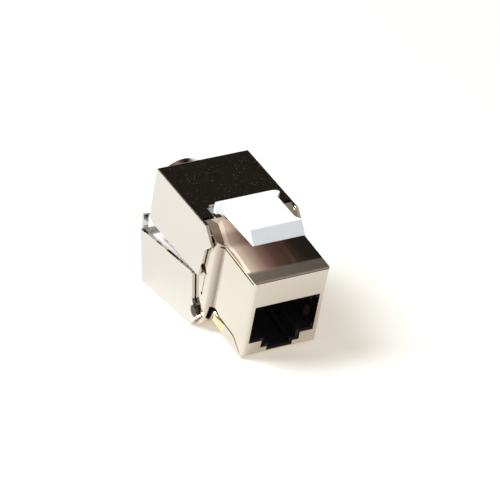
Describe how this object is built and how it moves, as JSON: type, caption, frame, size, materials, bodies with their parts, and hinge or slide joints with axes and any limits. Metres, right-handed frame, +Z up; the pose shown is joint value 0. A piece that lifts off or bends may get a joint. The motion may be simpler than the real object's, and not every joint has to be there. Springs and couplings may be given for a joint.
{
  "type": "keystone jack",
  "caption": "Shielded toolless keystone jack with a modular plug port, a snap latch on top and hinged rear doors that press the wires into the terminals and clamp the cable.",
  "frame": {"origin": "centre of the front face, in its plane, where the jack stands in its panel cut-out", "axes": "+X to the right seen from the front, +Y from the front face to the cable outlet, +Z up to the latch"},
  "size_m": [0.018, 0.0395, 0.0286],
  "materials": {
    "nickel_sheet": "satin nickel plate with a faint lengthwise grain",
    "nickel_cast": "nickel plate, smooth and mirror-like on the upper skin",
    "black_plastic": "fine matt",
    "terminal_plastic": "fine matt black",
    "guide_plastic": "fine matt, translucent white",
    "latch_plastic": "semi-gloss white",
    "board": "green solder mask",
    "gold_contact": "gold flash",
    "tin_contact": "bright tin plate",
    "pin_steel": "plain ground steel"
  },
  "bodies": {
    "jack_body": {"front_shield": "nickel_sheet", "port_housing": "black_plastic", "contact_spring_1": "gold_contact", "contact_spring_2": "gold_contact", "contact_spring_3": "gold_contact", "contact_spring_4": "gold_contact", "contact_spring_5": "gold_contact", "contact_spring_6": "gold_contact", "contact_spring_7": "gold_contact", "contact_spring_8": "gold_contact", "circuit_board": "board", "terminal_block": "terminal_plastic", "upper_fork_1": "tin_contact", "upper_fork_2": "tin_contact", "upper_fork_3": "tin_contact", "upper_fork_4": "tin_contact", "lower_fork_1": "tin_contact", "lower_fork_2": "tin_contact", "lower_fork_3": "tin_contact", "lower_fork_4": "tin_contact", "upper_hinge_pin": "pin_steel", "lower_hinge_pin": "pin_steel"},
    "upper_leaf": {"upper_door": "nickel_cast", "upper_wire_guide": "guide_plastic"},
    "lower_leaf": {"lower_door": "nickel_cast", "lower_wire_guide": "guide_plastic"},
    "latch": {"keystone_latch": "latch_plastic"}
  },
  "joints": [
    {"name": "upper_door_hinge", "type": "hinge", "parent": "jack_body", "child": "upper_leaf", "pos_m": [0, 0.0138, 0.0074], "axis": [1, 0, 0], "range_deg": [0, 90]},
    {"name": "lower_door_hinge", "type": "hinge", "parent": "jack_body", "child": "lower_leaf", "pos_m": [0, 0.0138, -0.0083], "axis": [-1, 0, 0], "range_deg": [-9.3, 90]},
    {"name": "latch_pivot", "type": "hinge", "parent": "jack_body", "child": "latch", "pos_m": [0, 0.0175, 0.0079], "axis": [1, 0, 0], "range_deg": [0, 13], "stiffness_Nm_per_rad": 0.2}
  ]
}
